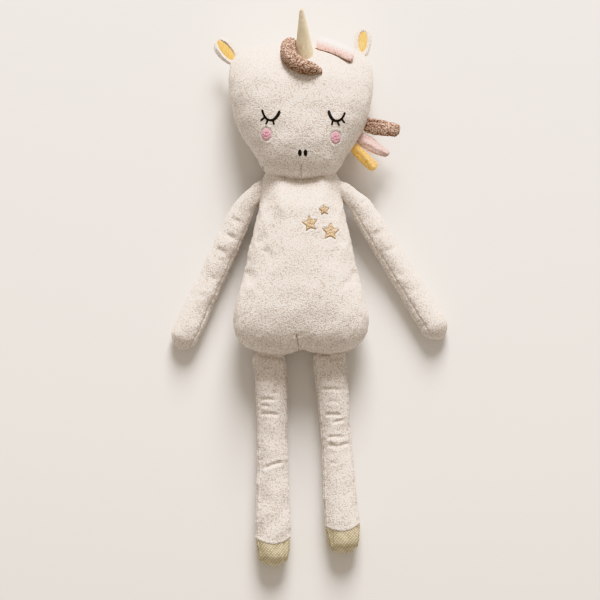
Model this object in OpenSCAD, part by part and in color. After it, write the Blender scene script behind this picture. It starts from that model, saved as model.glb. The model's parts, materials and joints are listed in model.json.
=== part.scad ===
// Plush unicorn, lying on its back. +Z is the toy's front, +Y its crown, +X its own left side.
// The origin is the middle of the flat of its back, on the surface it lies on.

/* [Fabric] */
// Thickness of the velour covers
skin = 1.6; // [1:0.1:2.2]
// Room between a cover and the filling inside it
fill_gap = 0.3; // [0.2:0.1:0.6]
// Height of the head's and body's side seams above the surface
seam_z = 24; // [20:1:28]
// How full the stuffed domes are, from a plain ellipse upwards
fullness = 2.4; // [2:0.1:3]

/* [Body] */
// Width of the body at the hips
torso_w = 122; // [100:1:146]
// Length of the body from the seat to the shoulders
torso_l = 160; // [133:1:192]
// Height of the belly above the side seam
belly = 30; // [25:1:36]
// Depth of the back below the side seam, before it lies flat
back_depth = 29; // [29:1:34]

/* [Head] */
// Width of the head across the temples
head_w = 130; // [108:1:156]
// Length of the head from chin to crown
head_l = 124; // [103:1:149]
// Height of the face above the side seam
face = 40; // [33:1:48]
// Depth of the back of the head below the side seam, before it lies flat
nape_depth = 31; // [29:1:36]
// Width of the neck seam
neck_w = 62; // [52:1:68]
// How far the chin dips below the ends of the neck seam
chin_dip = 6; // [4:0.5:7]
// Gap that the neck's ladder stitches close
neck_gap = 1.6; // [1.4:0.1:2.4]

/* [Horn] */
// Length of the horn
horn_l = 43; // [36:1:52]
// Diameter of the horn where it is sewn on
horn_base_d = 18; // [15:0.5:21]
// Diameter of the horn's tip
horn_tip_d = 4; // [3.4:0.1:4.8]
// Thickness of the horn's twill
horn_wall = 0.9; // [0.7:0.1:1.1]
// Angle of the horn above the surface
horn_lean = 25; // [20:1:30]

/* [Ears and mane] */
// Length of an ear
ear_l = 27; // [22:1:32]
// Width of an ear
ear_w = 16.5; // [14:0.5:20]
// Thickness of an ear
ear_t = 5; // [4:0.5:6]
// Width of a mane lock
lock_w = 11.5; // [9.5:0.5:12]
// Thickness of a mane lock
lock_t = 7; // [5.5:0.5:7.5]
// Length of a mane lock outside its seam
lock_l = 27; // [22:1:32]
// Gap between a hinged ear or lock and the seam that holds it
tab_gap = 0.5; // [0.4:0.1:1]

/* [Arms] */
// Length of an arm from its shoulder stitch
arm_l = 160; // [133:1:192]
// Width of an arm at the hand
arm_w = 25; // [21:0.5:30]
// Thickness of an arm
arm_t = 18; // [15:0.5:21]
// Diameter of an arm where it is gathered at the shoulder
arm_root_d = 12.6; // [10.5:0.1:15]
// Turn of an arm's side seams about its length
arm_seam_turn = 54; // [30:1:60]
// Angle of the left arm from straight down
left_arm_angle = 32; // [28:1:45]
// Angle of the right arm from straight down
right_arm_angle = 25; // [22:1:45]
// Diameter of the sewing thread
thread_d = 0.8; // [0.6:0.1:1]

/* [Legs] */
// Length of a leg with its hoof
leg_l = 186; // [158:1:228]
// Width of a leg
leg_w = 28; // [23:0.5:33]
// Thickness of a leg
leg_t = 20; // [17:0.5:23]
// Length of a hoof
hoof_l = 26; // [22:1:31]
// Distance between the two legs' seams
hip_spacing = 53; // [50:1:62]
// Height of the leg seams above the surface
hip_z = 17; // [14:1:20]
// Distance from the seat to the line a leg folds on
hip_gap = 6; // [5:0.5:9]
// Angle of the left leg from straight down
left_leg_angle = 4.2; // [1:0.1:8]
// Angle of the right leg from straight down
right_leg_angle = 0.5; // [0:0.1:8]
// How much further the left leg is drawn up into its seam
left_leg_hitch = 11; // [0:1:14]

/* [Embroidery] */
// Height of the embroidery above the velour
stitch_h = 0.9; // [0.7:0.1:1.2]
// Distance between the eyes
eye_spacing = 59; // [50:1:66]
// How far the eyes and nostrils sit off the middle, towards the left
face_shift = 2.2; // [0:0.1:3]
// Radius of a closed eyelid
eye_r = 7.7; // [6.5:0.1:9]
// Width of the eyelid line
lid_w = 2.2; // [1.8:0.1:2.7]
// Length of a lash
lash_l = 4.2; // [3.5:0.1:5]
// Width and height of a cheek spot
cheek = [8.6, 11];
// Width and height of a nostril
nostril = [3.3, 5.8];
// Distance between the nostrils
nostril_spacing = 5; // [4.6:0.1:6]
// Radius of the largest star
star_r = 8; // [6.6:0.1:9.6]

/* [Hidden] */

left = 1;
right = -1;
velour = "#ddd2c6";
twill = "#c9bb90";
satin = "#f2c14a";
brown_velour = "#b08c76";
pink_velour = "#efd3cf";
yellow_velour = "#f0b44c";
black_thread = "#1c1a19";
pink_thread = "#e2a3bb";
gold_thread = "#c9a35e";
cream_thread = "#e9e0d4";
filling = "#f7f5f0";

fine = 48;
outline_steps = 2;
dome_rings = 8;
half_ring = 9;
rings = 14;
seam_end = 0.03;
stitch_clear = 0.7;
floor_sink = 0.6;

// ---- curves -------------------------------------------------------------------------------

// Catmull-Rom curve through points, at u from 0 to len(points) - 1
function spline(points, u) =
    let (last = len(points) - 1,
         i = min(floor(max(u, 0)), last - 1),
         t = u - i,
         p0 = points[max(i - 1, 0)],
         p1 = points[i],
         p2 = points[i + 1],
         p3 = points[min(i + 2, last)])
    ((2 * p1) + (p2 - p0) * t + (2 * p0 - 5 * p1 + 4 * p2 - p3) * t * t
        + (3 * p1 - p0 - 3 * p2 + p3) * t * t * t) / 2;

// A closed, left-right symmetric outline from its right half, which runs from the middle of
// the bottom edge to the middle of the top edge
function outline(half) =
    let (last = len(half) - 1,
         mirrored = [for (i = [last - 1 : -1 : 1]) [-half[i].x, half[i].y]],
         loop = concat([[-half[1].x, half[1].y]], half, mirrored, [half[0], half[1]]),
         spans = 2 * last)
    [for (i = [0 : spans * outline_steps - 1])
        let (u = 1 + i / outline_steps) spline_inner(loop, u)];

// The same curve on a padded loop, where every span has both its neighbours
function spline_inner(loop, u) =
    let (i = floor(u), t = u - i, p0 = loop[i - 1], p1 = loop[i], p2 = loop[i + 1], p3 = loop[i + 2])
    ((2 * p1) + (p2 - p0) * t + (2 * p0 - 5 * p1 + 4 * p2 - p3) * t * t
        + (3 * p1 - p0 - 3 * p2 + p3) * t * t * t) / 2;

// A closed outline drawn in by d along its own normals
function drawn_in(shape, d) =
    let (n = len(shape))
    [for (i = [0 : n - 1])
        let (ahead = shape[(i + 1) % n], behind = shape[(i + n - 1) % n],
             along = (ahead - behind) / norm(ahead - behind))
        shape[i] + d * [-along.y, along.x]];

// The neck seam's curve at x: 0 under the chin, chin_dip at its ends
function neck_curve(x) = chin_dip * pow(2 * x / neck_w, 2);

// ---- places ---------------------------------------------------------------------------------

seat_y = -torso_l / 2;
chin_y = torso_l / 2 - chin_dip + neck_gap;
head_y = chin_y + head_l / 2;
crown_y = chin_y + head_l;

torso_half = concat(
    [for (p = [[0, -0.985], [0.45, -1], [0.80, -0.94], [0.985, -0.75], [0.99, -0.54],
               [0.91, -0.28], [0.82, -0.02]]) [p.x * torso_w / 2, p.y * torso_l / 2]],
    [for (t = [0.3, 0.62, 0.9])
        [(neck_w / 2 + 1) * t + 0.82 * torso_w / 2 * (1 - t), t * torso_l / 2]],
    [for (s = [0.90, 0.5, 0]) [s * neck_w / 2, torso_l / 2 - chin_dip + neck_curve(s * neck_w / 2)]]);

head_half = concat(
    [for (s = [0, 0.5, 1]) [s * neck_w / 2, chin_y + neck_curve(s * neck_w / 2)]],
    [for (p = [[0.67, -0.60], [0.83, -0.34], [0.945, -0.02], [1, 0.34], [0.975, 0.63], [0.86, 0.83],
               [0.60, 0.94], [0.30, 0.985], [0, 1]]) [p.x * head_w / 2, head_y + p.y * head_l / 2]]);

torso_outline = outline(torso_half);
head_outline = outline(head_half);
torso_centre = [0, -0.1 * torso_l];
head_centre = [0, head_y + 0.08 * head_l];

// Half-width of an outline at height y, measured where its right side crosses that height
function side_x(shape, y) =
    max([for (i = [0 : len(shape) - 1])
        let (a = shape[i], b = shape[(i + 1) % len(shape)])
        if ((a.y - y) * (b.y - y) <= 0 && a.y != b.y && a.x > 0)
            a.x + (b.x - a.x) * (y - a.y) / (b.y - a.y)]);

// Share of the way from the centre to the outline that the point p lies at
function reach(shape, centre, p) =
    let (d = p - centre, n = len(shape))
    max([for (i = [0 : n - 1])
        let (a = shape[i] - centre, b = shape[(i + 1) % n] - centre,
             edge = b - a,
             det = d.x * -edge.y + d.y * edge.x,
             t = (a.x * -edge.y + a.y * edge.x) / det,
             s = (d.x * a.y - d.y * a.x) / det)
        if (abs(det) > 1e-9 && t > 0 && s >= -1e-6 && s <= 1 + 1e-6) 1 / t]);

// Height of a stuffed dome above its seam at the point p
function dome_z(shape, centre, height, p) =
    height * sqrt(max(0, 1 - pow(min(1, reach(shape, centre, p)), fullness)));

function face_z(p) = seam_z + dome_z(head_outline, head_centre, face, p);
function belly_z(p) = seam_z + dome_z(torso_outline, torso_centre, belly, p);

// ---- solids from rows of points ---------------------------------------------------------------

// Triangles between two rows of count points, the first points of which have the indices a and b
function band(a, b, count, closed) =
    [for (j = [0 : count - (closed ? 1 : 2)]) let (k = (j + 1) % count)
        each [[a + j, b + j, b + k], [a + j, b + k, a + k]]];

// Triangles between a row and one point
function fan(a, tip, count) = [for (j = [0 : count - 1]) [a + j, tip, a + (j + 1) % count]];

function turned(faces, flip) = flip ? [for (f = faces) [f[0], f[2], f[1]]] : faces;

// Rings of a dome over an outline, from the seam towards its top, and then the top point
function dome_points(shape, centre, height, side, level, low) =
    concat(
        [for (k = [0 : dome_rings - 1])
            let (share = cos(90 * k / dome_rings),
                 z = level + side * height * sqrt(1 - pow(share, fullness)))
            each [for (p = shape) let (q = centre + (p - centre) * share) [q.x, q.y, max(low, z)]]],
        [[centre.x, centre.y, max(low, level + side * height)]]);

// One panel of a stuffed cover, a dome of the given thickness on one side of the seam
module dome_panel(shape, centre, height, side, thick, low) {
    n = len(shape);
    outer = dome_points(shape, centre, height, side, seam_z, low);
    inner = dome_points(drawn_in(shape, thick), centre, height - thick, side, seam_z, low + thick);
    start = len(outer);
    faces = concat(
        [for (k = [0 : dome_rings - 2]) each band(k * n, (k + 1) * n, n, true)],
        fan((dome_rings - 1) * n, start - 1, n),
        [for (k = [0 : dome_rings - 2]) each turned(band(start + k * n, start + (k + 1) * n, n, true), true)],
        turned(fan(start + (dome_rings - 1) * n, 2 * start - 1, n), true),
        turned(band(0, start, n, true), true));
    polyhedron(concat(outer, inner), turned(faces, side < 0), convexity = 4);
}

// A stuffed filling: a dome above the seam and a flattened one below it
module dome_filling(shape, centre, up, down, inset) {
    small = drawn_in(shape, inset);
    n = len(small);
    upper = dome_points(small, centre, up - inset, 1, seam_z, inset);
    lower = dome_points(small, centre, down - inset, -1, seam_z, inset);
    start = len(upper);
    lower_rings = [for (i = [n : len(lower) - 1]) lower[i]];
    faces = concat(
        [for (k = [0 : dome_rings - 2]) each band(k * n, (k + 1) * n, n, true)],
        fan((dome_rings - 1) * n, start - 1, n),
        turned(band(0, start, n, true), true),
        [for (k = [0 : dome_rings - 3]) each turned(band(start + k * n, start + (k + 1) * n, n, true), true)],
        turned(fan(start + (dome_rings - 2) * n, start + (dome_rings - 1) * n, n), true));
    polyhedron(concat(upper, lower_rings), faces, convexity = 4);
}

// ---- limbs ------------------------------------------------------------------------------------
// A limb is a list of stations [x, y, z, half width, half height] along its length.

function at(v) = [v[0], v[1], v[2]];

// The stations of a limb's filling: thinner, and shorter at both ends
function inset_stations(stations, d) =
    let (last = len(stations) - 1)
    [for (i = [0 : last])
        let (s = stations[i],
             inward = i == 0 ? at(stations[1]) - at(s)
                 : i == last ? at(stations[last - 1]) - at(s) : [0, 0, 0],
             p = at(s) + (norm(inward) > 0 ? inward / norm(inward) * d : [0, 0, 0]))
        [p.x, p.y, p.z, max(0.3, s[3] - d), max(0.3, s[4] - d)]];

// Share of its full width that a limb has at the distance d from an end rounded to radius r
function rounding(d, r, power) =
    r <= 0 || d >= r ? 1 : pow(max(0, 1 - pow(1 - max(d, 0) / r, power)), 1 / power);

// One ring of a limb at u, as points from angle a0 over the angle sweep, with its edge dipped
function limb_ring(stations, u, ends, a0, sweep, count, dip) =
    let (s = spline(stations, u),
         ahead = at(spline(stations, min(u + 0.02, len(stations) - 1))),
         behind = at(spline(stations, max(u - 0.02, 0))),
         along = (ahead - behind) / norm(ahead - behind),
         across = [along.y, -along.x, 0] / norm([along.y, -along.x, 0]),
         up = cross(across, along),
         first = at(stations[0]),
         final = at(stations[len(stations) - 1]),
         shrink = min(rounding(norm(at(s) - first), ends[0], ends[2]),
             rounding(norm(at(s) - final), ends[1], ends[2])),
         wide = max(seam_end, shrink) * s[3],
         high = max(seam_end, shrink) * s[4])
    [for (j = [0 : count - 1]) let (a = a0 + sweep * j / (sweep < 360 ? count - 1 : count))
        at(s) + across * wide * cos(a) + up * high * sin(a) + along * dip * abs(sin(a))];

// Values from from to to, close together at the ends that are rounded
function steps(from, to, n, soft_start, soft_end) =
    [for (i = [0 : n]) let (t = i / n)
        from + (to - from) * (soft_start && soft_end ? (1 - cos(180 * t)) / 2
            : soft_start ? 1 - cos(90 * t) : soft_end ? sin(90 * t) : t)];

// One panel of a limb's cover: half of the tube, between two positions along it
module limb_panel(stations, ends, from, to, turn, side, thick, dip_at, dip, n = rings) {
    inner_stations = inset_stations(stations, thick);
    inner_ends = [max(0, ends[0] - thick), max(0, ends[1] - thick), ends[2]];
    last = len(stations) - 1;
    us = steps(from, to, n, from == 0 && ends[0] > 0, to == last && ends[1] > 0);
    a0 = turn + (side > 0 ? 0 : 180);
    m = half_ring;
    outer = [for (u = us) each limb_ring(stations, u, ends, a0, 180, m, dip * max(0, 1 - abs(u - dip_at)))];
    inner = [for (u = us)
        each limb_ring(inner_stations, u, inner_ends, a0, 180, m, dip * max(0, 1 - abs(u - dip_at)))];
    start = len(outer);
    rim = [for (i = [0 : n - 1]) each [
        [i * m, (i + 1) * m, start + (i + 1) * m], [i * m, start + (i + 1) * m, start + i * m],
        [i * m + m - 1, start + (i + 1) * m + m - 1, (i + 1) * m + m - 1],
        [i * m + m - 1, start + i * m + m - 1, start + (i + 1) * m + m - 1]]];
    faces = concat(
        [for (i = [0 : n - 1]) each turned(band(i * m, (i + 1) * m, m, false), true)],
        [for (i = [0 : n - 1]) each band(start + i * m, start + (i + 1) * m, m, false)],
        turned(band(start, 0, m, false), true),
        turned(band(n * m, start + n * m, m, false), true),
        rim);
    polyhedron(concat(outer, inner), faces, convexity = 6);
}

// A closed limb: a filling, a lock or an ear
module limb_solid(stations, ends, inset, count = 2 * half_ring - 2, n = rings) {
    small = inset > 0 ? inset_stations(stations, inset) : stations;
    small_ends = [max(0, ends[0] - inset), max(0, ends[1] - inset), ends[2]];
    us = steps(0, len(stations) - 1, n, true, true);
    points = [for (u = us) each limb_ring(small, u, small_ends, 0, 360, count, 0)];
    root = (len(points));
    tips = [at(small[0]), at(small[len(small) - 1])];
    faces = concat(
        [for (i = [0 : n - 1]) each turned(band(i * count, (i + 1) * count, count, true), true)],
        fan(0, root, count),
        turned(fan(n * count, root + 1, count), true));
    polyhedron(concat(points, tips), faces, convexity = 4);
}

// Outward direction of a surface that rises by dx and dy over 1 mm along X and Y
function slope_normal(dx, dy) = [-dx, -dy, 1] / norm([-dx, -dy, 1]);
half_x = [0.5, 0];
half_y = [0, 0.5];
function face_normal(p) =
    slope_normal(face_z(p + half_x) - face_z(p - half_x), face_z(p + half_y) - face_z(p - half_y));
function belly_normal(p) =
    slope_normal(belly_z(p + half_x) - belly_z(p - half_x), belly_z(p + half_y) - belly_z(p - half_y));

// The point at distance d off the face over p
function above_face(p, d) = [p.x, p.y, face_z(p)] + d * face_normal(p);

// Sets children with their +Z along a surface's normal at p, sunk into the velour
module standing(p, z, normal) {
    heading = atan2(normal.y, normal.x);
    translate([p.x, p.y, z]) rotate([0, 0, heading]) rotate([0, acos(normal.z), 0]) rotate([0, 0, -heading])
        translate([0, 0, -floor_sink]) children();
}
module on_face(p) { standing(p, face_z(p), face_normal(p)) children(); }
module on_belly(p) { standing(p, belly_z(p), belly_normal(p)) children(); }

// ---- body ---------------------------------------------------------------------------------------

module torso_front_panel() {
    color(velour) dome_panel(torso_outline, torso_centre, belly, 1, skin, 0);
}

module torso_back_panel() {
    color(velour) dome_panel(torso_outline, torso_centre, back_depth, -1, skin, 0);
}

module torso_stuffing() {
    color(filling) dome_filling(torso_outline, torso_centre, belly, back_depth, skin + fill_gap);
}

// Ladder stitches across the neck gap, as a row of short thread bars
module neck_stitches() {
    count = 9;
    pitch = 0.78 * neck_w / (count - 1);
    color(cream_thread)
        for (i = [0 : count - 1]) let (x = (i - (count - 1) / 2) * pitch)
            translate([x, torso_l / 2 - chin_dip + neck_curve(x) - thread_d, seam_z])
                rotate([-90, 0, 0])
                    cylinder(h = thread_d + neck_gap - stitch_clear, d = thread_d, $fn = fine);
}

// Ladder stitches that close the stuffing hole, on the back beside its middle
module closing_stitches() {
    count = 12;
    pitch = 4;
    color(cream_thread)
        for (i = [0 : count - 1])
            translate([-3, (i - (count - 1) / 2) * pitch, thread_d / 2])
                rotate([0, 90, 0]) cylinder(h = 6, d = thread_d, $fn = fine);
}

module star(r, turn) {
    inner = 0.5;
    linear_extrude(stitch_h + floor_sink)
        polygon([for (i = [0 : 9]) let (a = 90 + turn + 36 * i, d = i % 2 == 0 ? r : inner * r)
            [d * cos(a), d * sin(a)]]);
}

module chest_star(place, r, turn) {
    color(gold_thread) on_belly(place) star(r, turn);
}

large_star_at = [26.5, 0.18 * torso_l];
module large_star() { chest_star(large_star_at, star_r, -3); }
module medium_star() { chest_star(large_star_at + [-18.5, 7.2] * star_r / 8, 0.9 * star_r, 9); }
module small_star() { chest_star(large_star_at + [-5.8, 19.5] * star_r / 8, 0.62 * star_r, 4); }

// ---- head ---------------------------------------------------------------------------------------

module head_front_panel() {
    color(velour) dome_panel(head_outline, head_centre, face, 1, skin, 0);
}

module head_back_panel() {
    color(velour) dome_panel(head_outline, head_centre, nape_depth, -1, skin, 0);
}

module head_stuffing() {
    color(filling) dome_filling(head_outline, head_centre, face, nape_depth, skin + fill_gap);
}

eye_y = head_y - 0.012 * head_l;

// A closed eye: the lid's arc and three lashes under it
module eye(side, lash_angles) {
    color(black_thread) on_face([side * eye_spacing / 2 + face_shift, eye_y]) {
        rotate([0, 0, 175]) rotate_extrude(angle = 190, $fn = fine)
            translate([eye_r - lid_w / 2, 0]) square([lid_w, stitch_h + floor_sink]);
        for (a = lash_angles)
            rotate([0, 0, a]) translate([eye_r, -lid_w / 4, 0])
                cube([lash_l, lid_w / 2, stitch_h + floor_sink]);
    }
}

module left_eye() { eye(left, [-118, -82, -38]); }
module right_eye() { eye(right, [-142, -98, -62]); }

module spot(place, size) {
    on_face(place)
        linear_extrude(stitch_h + floor_sink) scale([size.x / 2, size.y / 2]) circle(r = 1, $fn = fine);
}

cheek_y = eye_y - eye_r - 14.2;
module left_cheek() { color(pink_thread) spot([eye_spacing / 2 + 1.5, cheek_y - 1.5], cheek); }
module right_cheek() { color(pink_thread) spot([-eye_spacing / 2 - 1.5, cheek_y + 1.5], cheek); }

nostril_y = chin_y + 0.19 * head_l;
module nostrils() {
    color(black_thread)
        for (side = [left, right])
            spot([0.7 * face_shift + side * nostril_spacing / 2, nostril_y], nostril);
}

horn_at = [3, crown_y - 0.085 * head_l];
horn_swing = 4;

// Sets children with their +Z along the horn, from the middle of its base
module along_horn() {
    translate([horn_at.x, horn_at.y, face_z(horn_at)])
        rotate([0, 0, horn_swing]) rotate([horn_lean - 90, 0, 0]) children();
}

horn_root = 5;
module horn_cone(inset) {
    base_r = horn_base_d / 2 - inset;
    tip_r = horn_tip_d / 2 - inset;
    translate([0, 0, -horn_root])
        cylinder(h = horn_root + horn_l - horn_tip_d / 2, r1 = base_r, r2 = tip_r, $fn = fine);
    translate([0, 0, horn_l - horn_tip_d / 2]) sphere(r = tip_r, $fn = fine);
}

module horn_cover() {
    color(twill) along_horn() difference() {
        horn_cone(0);
        difference() {
            horn_cone(horn_wall);
            translate([0, 0, -horn_root - 1]) cylinder(h = 1.5, r = horn_base_d, $fn = fine);
        }
    }
}

module horn_stuffing() {
    color(filling) along_horn() difference() {
        horn_cone(horn_wall + fill_gap);
        translate([0, 0, -horn_root - 1]) cylinder(h = 2, r = horn_base_d, $fn = fine);
    }
}

// ---- mane -----------------------------------------------------------------------------------------

forelock_r = 6.6;
// Share of a lock's radius at which it lies on the face, pressed into the pile
lie = 0.86;

// The forelock curls from behind the horn's right side round its front to a point
module forelock() {
    curl = [[-9, 6, 0.8], [-14, 1, 1], [-12.5, -8, 1.05],
        [-4, -14, 0.98], [7, -16.5, 0.8], [16.5, -18, 0.25]];
    stations = [for (c = curl)
        let (r = forelock_r * c.z, p = above_face(horn_at + [c.x, c.y], lie * r)) [p.x, p.y, p.z, r, r]];
    color(brown_velour) limb_solid(stations, [forelock_r, 3, 2], 0);
}

// The pink lock lies along the crown, from beside the horn towards the left ear
crown_lock_r = lock_t / 2;
crown_line = [for (c = [[0.105, 0.955], [0.19, 0.935], [0.28, 0.90], [0.355, 0.86]])
    above_face([c.x * head_w, chin_y + c.y * head_l], crown_lock_r + tab_gap)];
crown_first = crown_line[1] - crown_line[0];
crown_at = crown_line[0] + crown_lock_r * crown_first / norm(crown_first);
crown_dir = atan2(crown_first.y, crown_first.x);

module crown_lock() {
    r = crown_lock_r;
    color(pink_velour) limb_solid([for (p = crown_line) [p.x, p.y, p.z, 1.15 * r, r]], [r, r + 1, 2], 0);
}

// The three locks of the left side seam: height up the head as a share, angle and height change
side_locks = [[0.405, -8, 6], [0.300, -29, 0], [0.238, -46, -6]];

function lock_root(i) =
    let (y = chin_y + side_locks[i][0] * head_l, x = side_x(head_outline, y), a = side_locks[i][1])
    [x + (tab_gap + lock_t / 2) * cos(a) + 0.6, y + (tab_gap + lock_t / 2) * sin(a), seam_z];

module side_lock(i) {
    a = side_locks[i][1];
    rise = side_locks[i][2];
    heading = [cos(a), sin(a), 0];
    r = lock_t / 2;
    root = lock_root(i);
    stations = [for (c = [[-r, 0.74, 0, 0.8], [0.3 * lock_l, 0.9, 0.5, 0.95], [0.65 * lock_l, 1, 0.9, 1],
                          [lock_l, 1, 1, 0.95]])
        let (p = root + heading * c[0]) [p.x, p.y, p.z + rise * c[2], lock_w / 2 * c[1], r * c[3]]];
    limb_solid(stations, [r, r + 1, 2.4], 0);
}

module brown_lock() { color(brown_velour) side_lock(0); }
module pink_lock() { color(pink_velour) side_lock(1); }
module yellow_lock() { color(yellow_velour) side_lock(2); }

// ---- ears -----------------------------------------------------------------------------------------

// Ear: height of its root up the head as a share, and its angle
left_ear_pose = [0.885, 86];
right_ear_pose = [0.855, 130];
// Distance from the head's seam to the line an ear folds on
ear_stand = tab_gap + ear_t / 2 + 2.6;

function ear_root(pose, side) =
    let (y = chin_y + pose[0] * head_l, x = side * side_x(head_outline, y), a = pose[1])
    [x + ear_stand * cos(a), y + ear_stand * sin(a), seam_z];

module ear_leaf(pose, side, width, thick, from, to, lift) {
    heading = [cos(pose[1]), sin(pose[1]), 0];
    root = ear_root(pose, side);
    stations = [for (c = [[0, 0.6], [0.33, 0.92], [0.66, 1], [1, 0.8]])
        let (p = root + heading * (from + (to - from) * c[0]))
        [p.x, p.y, p.z + lift, c[1] * width / 2, thick / 2]];
    limb_solid(stations, [thick / 2, 0.45 * width, 2], 0, 16, 10);
}

module ear_back(pose, side) {
    color(velour) ear_leaf(pose, side, ear_w, ear_t, -ear_t / 2, ear_l - ear_t / 2, 0);
}
module ear_lining(pose, side) {
    color(satin) ear_leaf(pose, side, 0.5 * ear_w, 0.45 * ear_t, 0.12 * ear_l, 0.78 * ear_l, 0.38 * ear_t);
}

module left_ear_back() { ear_back(left_ear_pose, left); }
module left_ear_lining() { ear_lining(left_ear_pose, left); }
module right_ear_back() { ear_back(right_ear_pose, right); }
module right_ear_lining() { ear_lining(right_ear_pose, right); }

// ---- arms -----------------------------------------------------------------------------------------

arm_root_r = arm_root_d / 2;
shoulder_y = torso_l / 2 - 12;
shoulder_gap = thread_d + 1.1;
shoulder_x = side_x(torso_outline, shoulder_y) + shoulder_gap + arm_root_r;

// Arm along its own -Y, from its gathered top at the shoulder to the hand lying on the surface
arm_stations = [
    [0, arm_root_r, seam_z, arm_root_r, arm_root_r],
    [0, -0.09 * arm_l, 0.80 * seam_z, 0.37 * arm_w, 0.43 * arm_t],
    [0, -0.28 * arm_l, 0.35 * arm_t + 0.33 * seam_z, 0.46 * arm_w, arm_t / 2],
    [0, -0.52 * arm_l, 0.53 * arm_t, 0.47 * arm_w, arm_t / 2],
    [0, -0.77 * arm_l, arm_t / 2, 0.49 * arm_w, arm_t / 2],
    [0, -arm_l, arm_t / 2, arm_w / 2, arm_t / 2]];
arm_ends = [arm_root_r, 0.46 * arm_w, 2];

module place_arm(side) {
    angle = side == left ? left_arm_angle : right_arm_angle;
    translate([side * shoulder_x, shoulder_y, 0]) rotate([0, 0, side * angle]) children();
}

module arm_panel(side, half) {
    color(velour) place_arm(side)
        limb_panel(arm_stations, arm_ends, 0, 5, side * arm_seam_turn, half, skin, -9, 0);
}

module left_arm_front_panel() { arm_panel(left, 1); }
module left_arm_back_panel() { arm_panel(left, -1); }
module right_arm_front_panel() { arm_panel(right, 1); }
module right_arm_back_panel() { arm_panel(right, -1); }
module arm_stuffing(side) {
    color(filling) place_arm(side) limb_solid(arm_stations, arm_ends, skin + fill_gap);
}
module left_arm_stuffing() { arm_stuffing(left); }
module right_arm_stuffing() { arm_stuffing(right); }

// The ring of gathering thread between an arm's closed top and the body's side seam
module shoulder_thread(side) {
    ring_x = side * (shoulder_x - arm_root_r - shoulder_gap / 2);
    color(cream_thread) translate([ring_x, shoulder_y, seam_z]) rotate([0, 90, 0])
        rotate_extrude($fn = fine) translate([0.3 * arm_root_r, 0]) circle(d = thread_d, $fn = 24);
}
module left_shoulder_thread() { shoulder_thread(left); }
module right_shoulder_thread() { shoulder_thread(right); }

// ---- legs -----------------------------------------------------------------------------------------

hip_y = seat_y - hip_gap;
leg_tab = 2;
hoof_from = 4;

// Leg along its own -Y, from its flat sewn top to the hoof's tip
function leg_stations(l) = [
    [0, leg_tab, hip_z, 0.48 * leg_w, 0.13 * leg_t],
    [0, -0.13 * l, 0.42 * hip_z + 0.33 * leg_t, 0.47 * leg_w, 0.42 * leg_t],
    [0, -0.36 * l, leg_t / 2, 0.46 * leg_w, leg_t / 2],
    [0, -0.63 * l, leg_t / 2, 0.49 * leg_w, leg_t / 2],
    [0, hoof_l - l, 0.53 * leg_t, 0.525 * leg_w, 0.53 * leg_t],
    [0, -l, 0.5 * leg_t, 0.50 * leg_w, 0.5 * leg_t]];
leg_ends = [0, 0.34 * leg_w, 2.6];
hoof_dip = 5.5;

function shown_leg(side) = side == left ? leg_l - left_leg_hitch : leg_l;

module place_leg(side) {
    angle = side == left ? left_leg_angle : right_leg_angle;
    translate([side * hip_spacing / 2, hip_y, 0]) rotate([0, 0, angle]) children();
}

module leg_panel(side, half) {
    color(velour) place_leg(side)
        limb_panel(leg_stations(shown_leg(side)), leg_ends, 0, hoof_from, 0, half, skin, hoof_from, hoof_dip);
}

module hoof_panel(side, half) {
    color(twill) place_leg(side)
        limb_panel(leg_stations(shown_leg(side)), leg_ends, hoof_from, 5, 0, half, skin,
            hoof_from, hoof_dip, 8);
}

module leg_stuffing(side) {
    color(filling) place_leg(side) limb_solid(leg_stations(shown_leg(side)), leg_ends, skin + fill_gap);
}

module left_leg_front_panel() { leg_panel(left, 1); }
module left_leg_back_panel() { leg_panel(left, -1); }
module left_leg_stuffing() { leg_stuffing(left); }
module left_hoof_front() { hoof_panel(left, 1); }
module left_hoof_back() { hoof_panel(left, -1); }
module right_leg_front_panel() { leg_panel(right, 1); }
module right_leg_back_panel() { leg_panel(right, -1); }
module right_leg_stuffing() { leg_stuffing(right); }
module right_hoof_front() { hoof_panel(right, 1); }
module right_hoof_back() { hoof_panel(right, -1); }

torso_front_panel();
torso_back_panel();
torso_stuffing();
neck_stitches();
closing_stitches();
large_star();
medium_star();
small_star();
head_front_panel();
head_back_panel();
head_stuffing();
horn_cover();
horn_stuffing();
left_eye();
right_eye();
left_cheek();
right_cheek();
nostrils();
forelock();
crown_lock();
brown_lock();
pink_lock();
yellow_lock();
left_ear_back();
left_ear_lining();
right_ear_back();
right_ear_lining();
left_arm_front_panel();
left_arm_back_panel();
left_arm_stuffing();
left_shoulder_thread();
right_arm_front_panel();
right_arm_back_panel();
right_arm_stuffing();
right_shoulder_thread();
left_leg_front_panel();
left_leg_back_panel();
left_leg_stuffing();
left_hoof_front();
left_hoof_back();
right_leg_front_panel();
right_leg_back_panel();
right_leg_stuffing();
right_hoof_front();
right_hoof_back();
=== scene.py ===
import json
import math
import bpy
import numpy as np
from mathutils import Matrix, Vector
from mathutils.bvhtree import BVHTree


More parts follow.
